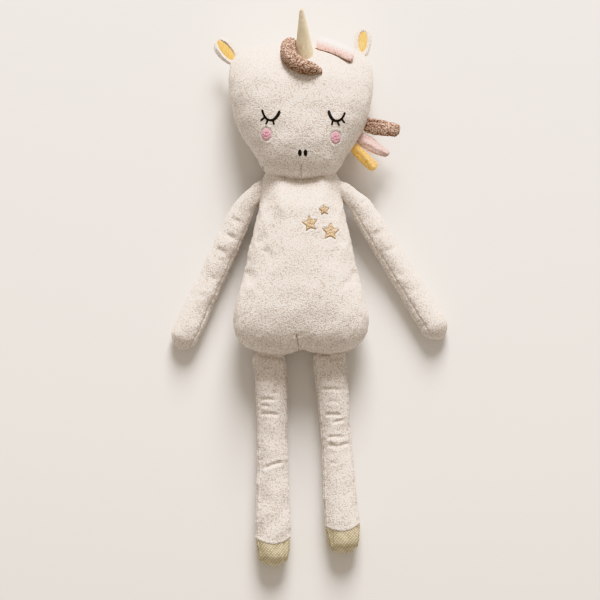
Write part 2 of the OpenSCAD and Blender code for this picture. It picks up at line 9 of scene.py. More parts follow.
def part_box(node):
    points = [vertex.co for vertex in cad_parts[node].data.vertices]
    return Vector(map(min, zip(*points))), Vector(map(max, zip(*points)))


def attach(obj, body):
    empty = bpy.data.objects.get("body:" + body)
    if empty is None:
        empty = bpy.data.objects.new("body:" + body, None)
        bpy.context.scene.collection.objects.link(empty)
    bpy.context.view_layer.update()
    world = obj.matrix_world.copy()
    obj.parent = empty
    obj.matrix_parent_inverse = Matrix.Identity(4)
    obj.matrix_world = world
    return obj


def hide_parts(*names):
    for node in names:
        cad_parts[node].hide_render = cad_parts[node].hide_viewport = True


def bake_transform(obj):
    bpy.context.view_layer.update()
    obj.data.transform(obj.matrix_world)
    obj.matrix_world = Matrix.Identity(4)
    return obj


# A plush unicorn lying on its back: velour covers, twill horn and hooves, satin-stitched face
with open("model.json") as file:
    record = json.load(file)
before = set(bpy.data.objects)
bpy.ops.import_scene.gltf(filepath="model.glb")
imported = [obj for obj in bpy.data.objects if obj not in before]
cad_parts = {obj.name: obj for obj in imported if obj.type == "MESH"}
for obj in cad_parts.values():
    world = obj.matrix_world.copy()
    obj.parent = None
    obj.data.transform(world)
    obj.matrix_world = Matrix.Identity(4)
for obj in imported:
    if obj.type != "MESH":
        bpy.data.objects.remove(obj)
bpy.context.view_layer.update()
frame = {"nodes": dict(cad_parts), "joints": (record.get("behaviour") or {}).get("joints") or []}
hinge = {joint["name"]: Vector(joint["pos_m"]) for joint in frame["joints"]}
mm = 0.001
seamHeight = hinge["neck_nod"].z
up = Vector((0, 0, 1))
print("frame loaded:", len(frame["nodes"]), "nodes")


def pickNothing():
    bpy.ops.object.select_all(action="DESELECT")


def link(piece):
    bpy.context.scene.collection.objects.link(piece)
    return piece


def makeActive(piece):
    pickNothing()
    piece.select_set(True)
    bpy.context.view_layer.objects.active = piece


def addAndApply(piece, kind, **settings):
    makeActive(piece)
    modifier = piece.modifiers.new(kind.title(), kind)
    for name, value in settings.items():
        setattr(modifier, name, value)
    bpy.ops.object.modifier_apply(modifier=modifier.name)


def mergeAndTurnOut(piece, distance=0.00001):
    # one closed skin, facing outwards
    makeActive(piece)
    bpy.ops.object.mode_set(mode="EDIT")
    bpy.ops.mesh.select_all(action="SELECT")
    bpy.ops.mesh.remove_doubles(threshold=distance)
    bpy.ops.mesh.normals_make_consistent(inside=False)
    bpy.ops.object.mode_set(mode="OBJECT")


def shadeSmooth(piece):
    makeActive(piece)
    bpy.ops.object.shade_smooth()


def readPoints(piece):
    points = np.empty(len(piece.data.vertices) * 3)
    piece.data.vertices.foreach_get("co", points)
    return points.reshape(-1, 3)


def readNormals(piece):
    normals = np.empty(len(piece.data.vertices) * 3)
    piece.data.vertex_normals.foreach_get("vector", normals)
    return normals.reshape(-1, 3)


def writePoints(piece, points):
    piece.data.vertices.foreach_set("co", points.astype(np.float32).ravel())
    piece.data.update()


def finishPiece(piece, material, body, nodes=(), blend=None):
    piece.data.materials.clear()
    piece.data.materials.append(material)
    shadeSmooth(piece)
    if blend:
        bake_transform(piece)
    else:
        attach(piece, body)
    if nodes:
        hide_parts(*nodes)


def colour(hexValue):
    # sRGB hex to linear
    parts = [int(hexValue[i:i + 2], 16) / 255 for i in (1, 3, 5)]
    return [p / 12.92 if p <= 0.04045 else ((p + 0.055) / 1.055) ** 2.4 for p in parts] + [1.0]


def addNode(tree, kind, links=None, inputs=None, **settings):
    node = tree.nodes.new("ShaderNode" + kind)
    for name, value in settings.items():
        setattr(node, name, value)
    for socket, value in (inputs or {}).items():
        node.inputs[socket].default_value = value
    for socket, source in (links or {}).items():
        tree.links.new(source, node.inputs[socket])
    return node


def newMaterial(name):
    material = bpy.data.materials.new(name)
    material.use_nodes = True
    tree = material.node_tree
    tree.nodes.clear()
    place = addNode(tree, "TexCoord").outputs["Object"]
    return material, tree, place


def closeMaterial(tree, links, inputs):
    shader = addNode(tree, "BsdfPrincipled", links, inputs)
    addNode(tree, "OutputMaterial", {"Surface": shader.outputs[0]})


def noise(tree, place, size, detail, roughness=0.5):
    # soft noise in lumps of that size in mm
    return addNode(tree, "TexNoise", {"Vector": place},
                   {"Scale": 1000 / size, "Detail": detail, "Roughness": roughness}).outputs["Fac"]


def ramp(tree, source, stops):
    # colour ramp from (place, hex) pairs
    node = addNode(tree, "ValToRGB", {"Fac": source})
    while len(node.color_ramp.elements) < len(stops):
        node.color_ramp.elements.new(0.5)
    for element, (place, hexValue) in zip(node.color_ramp.elements, stops):
        element.position = place
        element.color = colour(hexValue)
    return node.outputs["Color"]


# Short-pile polyester velour: cut loops stand up, so it reads as a fine matt speckle with a pale sheen at its edges
def velour(name, pale, mid, deep, grain=1.1, bump=0.5, sheen=0.25, patches=22.0, roughness=0.92, paintedHighlight=None):
    material, tree, place = newMaterial(name)
    cells = addNode(tree, "TexVoronoi", {"Vector": place}, {"Scale": 1000 / grain}).outputs["Distance"]
    tuft = addNode(tree, "Math", {1: cells}, {0: 1.0}, operation="SUBTRACT").outputs[0]  # one tuft a cell
    fibre = noise(tree, place, 0.45 * grain, 1.0)
    nap = noise(tree, place, patches, 2.0)  # brushed patches
    shade = addNode(tree, "Mix", {2: tuft, 3: nap}, {0: 0.12}).outputs[0]
    base = ramp(tree, shade, [(0.3, deep), (0.52, mid), (0.78, pale)])
    if paintedHighlight:
        # painted highlight: the colour pales towards the lit upper edge of the piece, from and to two places in mm
        # along a direction
        direction, start, end = paintedHighlight
        along = addNode(tree, "VectorMath", {0: place}, {1: direction},
                        operation="DOT_PRODUCT").outputs["Value"]
        share = addNode(tree, "MapRange", {"Value": along},
                        {"From Min": start * mm, "From Max": end * mm}).outputs[0]
        mixed = addNode(tree, "Mix", {"Factor": share, "A": base}, data_type="RGBA")
        mixed.inputs["B"].default_value = colour(pale)
        base = mixed.outputs["Result"]
    height = addNode(tree, "Math", {0: tuft, 1: fibre}, operation="ADD").outputs[0]
    relief = addNode(tree, "Bump", {"Height": height}, {"Strength": bump, "Distance": 1.0 * mm})
    closeMaterial(tree, {"Base Color": base, "Normal": relief.outputs[0]},
                  {"Roughness": roughness, "Sheen Weight": sheen, "Sheen Roughness": 0.45,
                   "Sheen Tint": colour(pale), "Specular IOR Level": 0.25})
    return material


# Cotton twill: diagonal ribs under a millimetre apart, drawn a little coarse so that they show
def twill(name, pale, mid, deep, rib=1.1, bump=0.5):
    material, tree, place = newMaterial(name)
    turned = addNode(tree, "Mapping", {"Vector": place}, {"Rotation": (0, 0, math.radians(38))}).outputs[0]
    ribs = addNode(tree, "TexWave", {"Vector": turned},
                   {"Scale": 1000 / rib / 6.28, "Distortion": 1.2, "Detail": 2.0, "Detail Scale": 3.0},
                   wave_type="BANDS", bands_direction="X").outputs["Fac"]
    crossed = addNode(tree, "TexWave", {"Vector": turned},
                      {"Scale": 1000 / (0.8 * rib) / 6.28, "Distortion": 1.5, "Detail": 2.0},
                      wave_type="BANDS", bands_direction="Y").outputs["Fac"]
    slub = noise(tree, place, 5.0, 3.0)
    weave = addNode(tree, "Math", {0: ribs, 1: crossed}, operation="MULTIPLY").outputs[0]
    mixed = addNode(tree, "Math", {0: weave, 1: slub}, operation="ADD").outputs[0]
    shade = addNode(tree, "MapRange", {"Value": mixed}, {"From Min": 0.3, "From Max": 1.2}).outputs[0]
    base = ramp(tree, shade, [(0.0, deep), (0.5, mid), (1.0, pale)])
    relief = addNode(tree, "Bump", {"Height": weave}, {"Strength": bump, "Distance": 0.3 * mm})
    closeMaterial(tree, {"Base Color": base, "Normal": relief.outputs[0]},
                  {"Roughness": 0.82, "Sheen Weight": 0.15, "Sheen Roughness": 0.5, "Specular IOR Level": 0.3})
    return material


# Polyester satin: long floats along the weave give a soft streaky gloss
def satin(name, pale, mid, deep, thread=0.8, roughness=0.42):
    material, tree, place = newMaterial(name)
    drawn = addNode(tree, "Mapping", {"Vector": place}, {"Scale": (1, 0.18, 1)}).outputs[0]
    floats = noise(tree, drawn, thread, 2.0, 0.6)
    base = ramp(tree, floats, [(0.25, deep), (0.5, mid), (0.75, pale)])
    relief = addNode(tree, "Bump", {"Height": floats}, {"Strength": 0.25, "Distance": 0.2 * mm})
    closeMaterial(tree, {"Base Color": base, "Normal": relief.outputs[0]},
                  {"Roughness": roughness, "Sheen Weight": 0.2, "Specular IOR Level": 0.5})
    return material


# Trilobal embroidery thread: tight, with a slight shine and a twist too fine to draw
def stitchThread(name, pale, deep, roughness=0.5):
    material, tree, place = newMaterial(name)
    twist = noise(tree, place, 0.7, 1.0)
    base = ramp(tree, twist, [(0.3, deep), (0.7, pale)])
    closeMaterial(tree, {"Base Color": base}, {"Roughness": roughness, "Specular IOR Level": 0.4})
    return material


creamVelour = velour("creamVelour", "#fefbf8", "#f7f1eb", "#dacec3", grain=1.15, bump=0.35, sheen=0.1)
brownVelour = velour("brownLoopVelour", "#f0dccd", "#d0b2a0", "#93735f", grain=1.4, bump=0.8)
pinkVelour = velour("pinkVelour", "#fbe8e3", "#f2d8d2", "#e2c2bb")
# the crown lock's pink velour, paled along its upper edge as a painted highlight
pinkVelourPaintedHighlight = velour("pinkVelourPaintedHighlight", "#fffaf7", "#f9ddd5", "#e9c3b8", bump=0.4, sheen=0.1,
                        paintedHighlight=((0.33, 0.94, 0), 189.5, 194.5))
yellowVelour = velour("yellowVelour", "#ffecb8", "#ffdb8e", "#ffc260", bump=0.2, sheen=0.5)
goldTwill = twill("goldTwill", "#f2ead2", "#ddd2b4", "#b3a482", rib=1.12)
hornTwill = twill("hornTwill", "#f3ead3", "#e8dcc0", "#d3c4a4", rib=0.8, bump=0.2)
yellowSatin = satin("yellowSatin", "#ffecb0", "#ffd97a", "#f0b850")
blackStitch = stitchThread("blackStitch", "#262220", "#0c0a09", roughness=0.42)
pinkStitch = stitchThread("pinkStitch", "#ffd2e0", "#f0b2c8")
goldStitch = stitchThread("goldStitch", "#e6cda6", "#ccae80")
bronzeStitch = stitchThread("bronzeStitch", "#a5814f", "#7f623c")
creamStitch = stitchThread("creamStitch", "#efe8dd", "#cfc2b2", roughness=0.7)
# dark umber thread for the crown seam: painted shadow under the crown lock
crownLockShadowStitch = stitchThread("crownLockShadowStitch", "#8a6a56", "#6e5243", roughness=0.8)
# taupe thread for the seams, darker than the velour: painted shade of the seam grooves
seamShadeStitch = stitchThread("seamShadeStitch", "#b7a594", "#96816f", roughness=0.8)
print("materials made")


def softCopy(name, nodes, voxel, grow=0.0):
    # the CAD shape as one even skin of small squares, grown outwards by grow mm
    copies = [link(bpy.data.objects.new(name, frame["nodes"][node].data.copy())) for node in nodes]
    makeActive(copies[0])
    for part in copies:
        part.select_set(True)
    if len(copies) > 1:
        bpy.ops.object.join()
    piece = copies[0]
    piece.name = name
    mergeAndTurnOut(piece)
    addAndApply(piece, "REMESH", mode="VOXEL", voxel_size=voxel * mm, adaptivity=0.0)
    if grow:
        writePoints(piece, readPoints(piece) + readNormals(piece) * grow * mm)
    return piece


# light cloth that hardly stretches and bends easily
clothGives = {"quality": 6, "mass": 0.2, "tension_stiffness": 18, "compression_stiffness": 12,
              "bending_stiffness": 0.4}
clothSteps = 20
unevenness = 0.35  # mm, height of the filling's waves
velourPile, smallPile = 0.06, 0.05  # mm, tufts on the large covers and on the small ones


def inflate(piece, pinned, cap, pressure=4.0, slack=-0.012):
    # cloth blown up from inside, held at its seams; no point moves further than cap
    start = readPoints(piece)
    group = piece.vertex_groups.new(name="sewn")
    weights = pinned(start)
    for i in np.nonzero(weights > 0.01)[0]:
        group.add([int(i)], float(weights[i]), "REPLACE")
    makeActive(piece)
    cloth = piece.modifiers.new("Cloth", "CLOTH")
    settings = cloth.settings
    for name, value in clothGives.items():
        setattr(settings, name, value)
    settings.use_pressure = True
    settings.uniform_pressure_force = pressure
    settings.shrink_min = slack
    settings.vertex_group_mass = "sewn"
    settings.effector_weights.gravity = 0
    cloth.collision_settings.use_collision = False
    scene = bpy.context.scene
    scene.frame_start, scene.frame_end = 1, clothSteps
    for step in range(1, clothSteps + 1):
        scene.frame_set(step)
    bpy.ops.object.modifier_apply(modifier="Cloth")
    scene.frame_set(1)
    moved = readPoints(piece) - start
    length = np.linalg.norm(moved, axis=1, keepdims=True)
    writePoints(piece, start + moved * np.minimum(1.0, cap * mm / np.maximum(length, 1e-9)))
    print("  inflated", piece.name, "moved", round(float(length.mean() / mm), 2), "mm on average")


def restOnFloor(piece, floor=0.3, soft=2.5):
    # flattens what the surface under it presses flat, sizes in mm
    points = readPoints(piece)
    top = (floor + soft) * mm
    low = points[:, 2] < top
    points[low, 2] = floor * mm + soft * mm * np.exp((points[low, 2] - top) / (soft * mm))
    writePoints(piece, points)


def smoothRise(value, start, end):
    t = np.clip((value - start) / (end - start), 0, 1)
    return t * t * (3 - 2 * t)


def pathDistance(points, path):
    # distance of each point to a path, how far along its nearest place is, and the path's length
    best = np.full(len(points), 1e9)
    along = np.zeros(len(points))
    run = 0.0
    for a, b in zip(path[:-1], path[1:]):
        a, b = np.array(a), np.array(b)
        step = b - a
        size = max(np.linalg.norm(step), 1e-7)
        t = np.clip((points - a) @ step / size ** 2, 0, 1)
        distance = np.linalg.norm(points - a - t[:, None] * step, axis=1)
        closer = distance < best
        best[closer] = distance[closer]
        along[closer] = run + t[closer] * size
        run += size
    return best, along, run


def crease(piece, path, width, depth, pucker=0.0, pitch=6.0, lip=0.0, fade=0.0, seed=0.0):
    # a sewn or folded line pressed into the cloth, with small gathers beside it, sizes in mm
    points, outwards = readPoints(piece), readNormals(piece)
    distance, along, run = pathDistance(points, path)
    ends = 1.0
    if fade:
        ends = np.clip(along / (fade * mm), 0, 1) * np.clip((run - along) / (fade * mm), 0, 1)
    near = np.exp(-(distance / (width * mm)) ** 2) * ends
    beside = np.exp(-((distance - 2.0 * width * mm) / (width * mm)) ** 2) * ends
    wide = np.exp(-(distance / (4.0 * width * mm)) ** 2) * ends
    turns = along / (pitch * mm) * 2 * np.pi
    wave = np.sin(turns + seed) + 0.6 * np.sin(turns / 1.7 + 2.3 * seed)
    shift = -depth * near + lip * beside + pucker * wide * wave * (1 - near)
    writePoints(piece, points + outwards * shift[:, None] * mm)


def pile(piece, amount, seed):
    # uneven tufts in the surface itself
    generator = np.random.default_rng(seed)
    points = readPoints(piece)
    writePoints(piece, points + readNormals(piece) * generator.normal(0, amount * mm, len(points))[:, None])


def undulate(piece, amount, size, seed):
    # the filling's soft unevenness: waves in random directions, sizes in mm
    generator = np.random.default_rng(seed)
    points = readPoints(piece)
    height = np.zeros(len(points))
    for _ in range(16):
        ray = generator.normal(size=3)
        ray *= 2 * np.pi / (size * mm * generator.uniform(0.7, 1.6) * np.linalg.norm(ray))
        height += np.sin(points @ ray + generator.uniform(0, 6.3))
    writePoints(piece, points + readNormals(piece) * (height * amount * mm / 4)[:, None])


def plump(piece, power, upTo):
    # fuller shoulders above the seam, as tight filling gives, easing off between two places along Y in mm
    points = readPoints(piece)
    height = np.clip(points[:, 2] - seamHeight, 0, None)
    full, soft = height.max(), 0.06
    fuller = full * ((height / full + soft) ** power - soft ** power) / ((1 + soft) ** power - soft ** power)
    sideways, lengthways = np.abs(readNormals(piece)[:, :2].T)
    share = (lengthways + 0.1) / (sideways + lengthways + 0.1)  # the side seams stay flat
    points[:, 2] += share * (1 - smoothRise(points[:, 1], upTo[0] * mm, upTo[1] * mm)) * (fuller - height)
    writePoints(piece, points)


def surfaceOf(piece):
    return BVHTree.FromObject(piece, bpy.context.evaluated_depsgraph_get())


def dropOn(tree, x, y):
    # where a plumb line at x, y in mm meets the cloth from above
    place, normal, _, _ = tree.ray_cast(Vector((x * mm, y * mm, 0.3)), -up)
    return place, normal


def onSurface(tree, plan):
    hits = [dropOn(tree, x, y)[0] for x, y in plan]
    return [tuple(hit) for hit in hits if hit]


def between(a, b, steps, bow=0.0):
    # points from a to b on the plan, bowed sideways by bow mm
    a, b = np.array(a, float), np.array(b, float)
    side = np.array([-(b - a)[1], (b - a)[0]]) / max(np.linalg.norm(b - a), 1e-6)
    return [tuple(a + (b - a) * t + side * bow * math.sin(math.pi * t)) for t in np.linspace(0, 1, steps)]


def cutAt(piece, place, direction):
    # drops everything beyond a plane and closes the cut
    makeActive(piece)
    bpy.ops.object.mode_set(mode="EDIT")
    bpy.ops.mesh.select_all(action="SELECT")
    bpy.ops.mesh.bisect(plane_co=place, plane_no=direction, use_fill=True, clear_outer=True)
    bpy.ops.object.mode_set(mode="OBJECT")


# Sizes in mm. voxel: squares of the skin, grow: how far it stands off the CAD shape, cap: how far filling pushes it
body = {"voxel": 4.0, "grow": 2.3, "cap": 2.6, "seamDepth": 1.5, "waves": 24, "plump": 0.5, "plumpUpTo": (44, 72),
        "neckLift": 0.3, "neckFrom": 34, "neckTo": 76, "neckDraw": 9.0, "cornerDrop": 0.45, "cornersAt": (16, 34),
        "sags": [(-15, 10, -2.0), (1, 5, 1.6), (24, 9, -0.6)],  # place, width and drop of the seat over the legs
        "seatSeam": [(-4.4, -62.5), (-3.6, -67), (-2.6, -72), (-1.6, -78)], "seatSeamDepth": 1.2}
head = {"voxel": 4.0, "grow": 2.3, "cap": 2.6, "seamDepth": 1.3, "waves": 24, "plump": 0.5, "plumpUpTo": (145, 178),
        "chinSeam": [(0.2, 90), (0, 86), (0, 82), (0, 77.5)], "chinSeamDepth": 1.0,
        "crownSeam": [(12.6, 193.2), (20, 191.4), (28, 188.8), (36, 185.2), (44.5, 180.4)],
        "jawSeams": [[(-34.6, 88.0), (-33.8, 85.0), (-32.4, 82.0)], [(34.0, 83.5), (33.0, 82.0), (32.0, 80.5)]]}


def coveredBy(part):
    # the panels and the filling that one cover stands for
    return [part + ending for ending in ("_front_panel", "_back_panel", "_stuffing")]


def sewnAtSides(points):
    return np.exp(-((points[:, 2] - seamHeight) / (2.0 * mm)) ** 2)


def sewnNowhere(points):
    return np.zeros(len(points))


def outlineAtSeam(piece):
    # the loop where the cover crosses the seam's height
    points = readPoints(piece)
    centre = points.mean(axis=0)
    near = points[np.abs(points[:, 2] - seamHeight) < 1.6 * mm]
    angles = np.arctan2(near[:, 1] - centre[1], near[:, 0] - centre[0])
    loop = []
    for step in range(120):
        gap = np.abs(np.angle(np.exp(1j * (angles + math.pi - 2 * math.pi * step / 120))))
        chosen = near[gap < 0.05] if (gap < 0.05).any() else near[gap.argmin()][None]
        loop.append((chosen[:, 0].mean(), chosen[:, 1].mean(), seamHeight))
    return loop + loop[:1]


covers = {}
for name, node, setting in (("bodyCover", "torso_stuffing", body), ("headCover", "head_stuffing", head)):
    cover = softCopy(name, [node], setting["voxel"], setting["grow"])
    inflate(cover, sewnAtSides, setting["cap"])
    restOnFloor(cover)
    addAndApply(cover, "SUBSURF", levels=2, render_levels=2)
    plump(cover, setting["plump"], setting["plumpUpTo"])
    undulate(cover, unevenness, setting["waves"], len(name))
    crease(cover, outlineAtSeam(cover), 1.0, setting["seamDepth"], pucker=0.25, pitch=7.0, seed=1.0)
    covers[name] = cover
bodyCover, headCover = covers["bodyCover"], covers["headCover"]

# the neck is drawn up into the head, and the seat sags over the legs
points = readPoints(bodyCover) / mm
above = np.clip(points[:, 2] - seamHeight / mm, 0, None)
beside = smoothRise(np.abs(points[:, 0]), *body["cornersAt"])
lift = body["neckLift"] * (1 - beside) - body["cornerDrop"] * beside
points[:, 2] += above * smoothRise(points[:, 1], body["neckFrom"], body["neckTo"]) * lift
points[:, 1] += body["neckDraw"] * smoothRise(points[:, 1], 54, 80)
low = smoothRise(-points[:, 1], 62, 78)
sag = sum(drop * np.exp(-((points[:, 0] - place) / width) ** 2) for place, width, drop in body["sags"])
points[:, 1] += low * sag
writePoints(bodyCover, points * mm)

tree = surfaceOf(bodyCover)
crease(bodyCover, onSurface(tree, body["seatSeam"]), 0.9, body["seatSeamDepth"],
       pucker=0.25, pitch=5, seed=2.0, fade=3)
tree = surfaceOf(headCover)
crease(headCover, onSurface(tree, head["chinSeam"]), 0.8, head["chinSeamDepth"],
       pucker=0.15, pitch=5, seed=3.0, fade=2)
crease(headCover, onSurface(tree, head["crownSeam"]), 1.3, 1.6)
for seam in head["jawSeams"]:
    crease(headCover, onSurface(tree, seam), 0.8, 1.0, pucker=0.1, pitch=5, seed=4.0, fade=2)
print("body and head shaped")


def sphereModel(name, segments, rings, size):
    pickNothing()
    bpy.ops.mesh.primitive_uv_sphere_add(segments=segments, ring_count=rings, radius=1)
    model = bpy.context.object
    model.name = name
    model.data.transform(Matrix.Diagonal((*size, 1)))
    return model


def copyMany(name, model, places):
    # one model copied to every place, each with its own mesh, then joined
    copies = []
    for place in places:
        copies.append(link(bpy.data.objects.new(name, model.data.copy())))
        copies[-1].data.transform(place)
    makeActive(copies[0])
    for copy in copies:
        copy.select_set(True)
    bpy.ops.object.join()
    return copies[0]


def stitchPlace(tree, a, b, lift=0.12, thick=1.0):
    # lays one stitch on the cloth from a to b on the plan, in mm; None if it misses
    (start, up1), (end, up2) = dropOn(tree, *a), dropOn(tree, *b)
    if not start or not end or (end - start).length < 0.1 * mm:
        return None
    along = (end - start).normalized()
    out = (up1 + up2).normalized()
    side = out.cross(along).normalized()
    out = along.cross(side)
    length = (end - start).length / 2 * 1.12
    turn = Matrix((along, side, out)).transposed().to_4x4()
    size = Matrix.Diagonal((length / mm, thick, 1.0, 1))
    return Matrix.Translation((start + end) / 2 + out * lift * mm) @ turn @ size


def smoothLine(line, rounds=2):
    # cuts the corners of a line until it reads as a curve
    line = [np.array(point, float) for point in line]
    for _ in range(rounds):
        cut = [line[0]]
        for a, b in zip(line[:-1], line[1:]):
            cut += [0.75 * a + 0.25 * b, 0.25 * a + 0.75 * b]
        line = cut + [line[-1]]
    return np.array(line)


def satinLine(tree, line, widths, pitch):
    # satin stitches side by side across a line, of changing width and rounded at the ends
    run = np.concatenate([[0], np.cumsum(np.linalg.norm(np.diff(line, axis=0), axis=1))])
    count = max(2, int(run[-1] / pitch))
    places = []
    for s in np.linspace(0, run[-1], count + 1):
        here, back, ahead = (np.array([np.interp(s + step, run, line[:, i]) for i in (0, 1)])
                             for step in (0, -0.4, 0.4))
        side = np.array([-(ahead - back)[1], (ahead - back)[0]]) / np.linalg.norm(ahead - back)
        half = np.interp(s, np.linspace(0, run[-1], len(widths)), widths) / 2
        half *= math.sqrt(1 - 0.8 * (1 - min(1, min(s, run[-1] - s) / half)) ** 2)
        places.append(stitchPlace(tree, here - side * half, here + side * half))
    return places


def insideShape(outline, x, y):
    inside = False
    for (ax, ay), (bx, by) in zip(outline, outline[1:] + outline[:1]):
        if (ay > y) != (by > y) and x < (bx - ax) * (y - ay) / (by - ay) + ax:
            inside = not inside
    return inside


def fillStitches(tree, outline, pitch, length, seed, angle=90.0):
    # rows of short stitches filling an outline
    generator = np.random.default_rng(seed)
    outline = np.array(outline)
    centre = outline.mean(axis=0)
    a = math.radians(angle)
    row, across = np.array([math.cos(a), math.sin(a)]), np.array([-math.sin(a), math.cos(a)])
    flat = [tuple(p) for p in np.stack([(outline - centre) @ row, (outline - centre) @ across], axis=1)]
    reach = max(np.hypot(*p) for p in flat)
    places = []
    for v in np.arange(-reach, reach, pitch):
        steps = [u for u in np.arange(-reach, reach, 0.15) if insideShape(flat, u, v)]
        if not steps:
            continue
        runs = np.split(np.array(steps), np.nonzero(np.diff(steps) > 0.3)[0] + 1)
        for run in runs:
            marks = [run[0]]
            while marks[-1] + 0.4 < run[-1]:
                step = length * generator.uniform(0.7, 1.25)
                marks.append(marks[-1] + step if marks[-1] + 1.4 * step < run[-1] else run[-1])
            for u1, u2 in zip(marks[:-1], marks[1:]):
                places.append(stitchPlace(tree, centre + row * u1 + across * v, centre + row * u2 + across * v))
    return places


def ovalOutline(centre, wide, tall, count=28):
    return [(centre[0] + wide / 2 * math.cos(2 * math.pi * i / count),
             centre[1] + tall / 2 * math.sin(2 * math.pi * i / count)) for i in range(count)]


def starOutline(centre, radius, turn, waist=0.5):
    points = []
    for i in range(10):
        a = math.radians(90 + turn + 36 * i)
        r = radius if i % 2 == 0 else radius * waist
        points.append((centre[0] + r * math.cos(a), centre[1] + r * math.sin(a)))
    return points


def edgeStitches(tree, outline, length):
    places = []
    for a, b in zip(outline, outline[1:] + outline[:1]):
        a, b = np.array(a), np.array(b)
        count = max(1, round(np.linalg.norm(b - a) / length))
        for i in range(count):
            places.append(stitchPlace(tree, a + (b - a) * (i + 0.08) / count, a + (b - a) * (i + 0.92) / count,
                                      lift=0.15, thick=1.1))
    return places


def embroider(name, model, places, material, body, slot, *nodes):
    finishPiece(copyMany(name, model, [place for place in places if place]), material, body, nodes)


face = {"eyeSpacing": 59.0, "eyeShift": 2.2, "eyeHeight": 136.1, "pitch": 0.42, "lashWidth": 1.9,
        "lids": {"left": [(-7.0, 0.8), (-6.4, -2.4), (-4.9, -5.3), (-3.1, -7.6), (-0.2, -8.7),
                          (2.5, -8.1), (4.8, -6.4), (6.5, -3.6), (7.7, -0.6)],
                 "right": [(-7.5, 1.6), (-6.6, -1.4), (-5.1, -4.7), (-3.2, -7.0), (0.2, -8.1),
                           (3.0, -7.4), (5.2, -5.3), (7.2, -2.5), (8.4, 0.5)]},
        "lidWidths": {"left": (2.7, 3.1, 2.4, 2.1, 2.0), "right": (2.0, 2.1, 2.2, 3.1, 2.8)},
        "lashes": {"left": [((-3.5, -8.2), (-4.2, -12.1)), ((0.8, -8.8), (2.5, -12.6)), ((4.8, -6.8), (7.4, -10.0))],
                   "right": [((-5.2, -5.2), (-8.8, -8.1)), ((-2.5, -7.8), (-4.1, -11.4)),
                             ((2.3, -7.8), (3.2, -11.7))]},
        "cheeks": {"left": (31.0, 112.7), "right": (-31.0, 115.7)}, "cheekSize": (8.6, 11.0),
        "nostrilShift": 1.5, "nostrilSpacing": 5.0, "nostrilHeight": 99.2, "nostrilSize": (3.8, 6.0)}
# centre, radius and turn of each star
stars = {"large_star": ((26.5, 28.8), 8.0, -3), "medium_star": ((8.0, 36.0), 7.2, 9),
         "small_star": ((20.7, 48.3), 5.0, 4)}
stitchModel = sphereModel("stitchModel", 6, 4, (1 * mm, 0.27 * mm, 0.3 * mm))

tree = surfaceOf(headCover)
for side in ("left", "right"):
    crease(headCover, onSurface(tree, ovalOutline(face["cheeks"][side], *face["cheekSize"])), 1.0, 0.45, lip=0.3)
tree = surfaceOf(bodyCover)
for centre, radius, turn in stars.values():
    crease(bodyCover, onSurface(tree, starOutline(centre, radius, turn)), 0.9, 0.35, lip=0.25)
for cover, seed in ((bodyCover, 5), (headCover, 6)):
    pile(cover, velourPile, seed)
    restOnFloor(cover, soft=0.4)

tree = surfaceOf(headCover)
nostrils = []
for side, sign in (("left", 1), ("right", -1)):
    centre = np.array([face["eyeShift"] + sign * face["eyeSpacing"] / 2, face["eyeHeight"]])
    places = satinLine(tree, smoothLine(face["lids"][side]) + centre, face["lidWidths"][side], face["pitch"])
    for lash in face["lashes"][side]:
        places += satinLine(tree, np.array(lash) + centre, [face["lashWidth"]] * 2, face["pitch"])
    embroider(side + "EyeStitches", stitchModel, places, blackStitch, "head", "black_thread", side + "_eye")
    cheek = ovalOutline(face["cheeks"][side], *face["cheekSize"])
    embroider(side + "CheekStitches", stitchModel, fillStitches(tree, cheek, 0.48, 3.2, 7 + sign),
              pinkStitch, "head", "pink_thread", side + "_cheek")
    centre = (face["nostrilShift"] + sign * face["nostrilSpacing"] / 2, face["nostrilHeight"])
    nostril = ovalOutline(centre, *face["nostrilSize"])
    nostrils += fillStitches(tree, nostril, face["pitch"], 6.0, 3, angle=0)
embroider("nostrilStitches", stitchModel, nostrils, blackStitch, "head", "black_thread", "nostrils")
tree = surfaceOf(bodyCover)
for name, (centre, radius, turn) in stars.items():
    outline = starOutline(centre, radius, turn)
    title = name.replace("_star", "Star")
    embroider(title + "Fill", stitchModel, fillStitches(tree, outline, 0.48, 2.8, 5, angle=80), goldStitch,
              "torso", "gold_thread", name)
    embroider(title + "Edge", stitchModel, edgeStitches(tree, outline, 1.5), bronzeStitch,
              "torso", "gold_thread", name)
print("face and stars embroidered")


def seamShadeThread(name, cover, plan, radius, body, material=seamShadeStitch):
    # a dark thread sunk at the bottom of a seam: painted shade for the seam's groove
    path = onSurface(surfaceOf(cover), plan)
    data = bpy.data.curves.new(name, "CURVE")
    data.dimensions = "3D"
    data.bevel_depth = radius * mm
    data.bevel_resolution = 1
    data.use_fill_caps = True
    line = data.splines.new("POLY")
    line.points.add(len(path) - 1)
    for point, place in zip(line.points, path):
        point.co = (*place, 1)
    piece = link(bpy.data.objects.new(name, data))
    makeActive(piece)
    bpy.ops.object.convert(target="MESH")
    finishPiece(piece, material, body)


# dark threads along the chin, crown, seat and jaw seams, as painted shade of their grooves
seamShadeThread("chinSeam", headCover, between((0.2, 89), (0, 77.6), 9), 0.3, "head")
# the crown seam's thread is the darkest: painted shadow cast by the crown lock
seamShadeThread("crownSeam", headCover, head["crownSeam"], 0.45, "head", crownLockShadowStitch)
seamShadeThread("seatSeam", bodyCover, between((-4.2, -63), (-2.0, -77.5), 9, 0.3), 0.3, "torso")
seamShadeThread("jawSeam", headCover, head["jawSeams"][0], 0.3, "head")
neck = hinge["neck_nod"]
finishPiece(bodyCover, creamVelour, "torso", coveredBy("torso"),
            blend=("torso", "head", (0, neck.y - 0.010, neck.z), (0, neck.y + 0.001, neck.z)))
finishPiece(headCover, creamVelour, "head", coveredBy("head"))
print("body and head sewn")

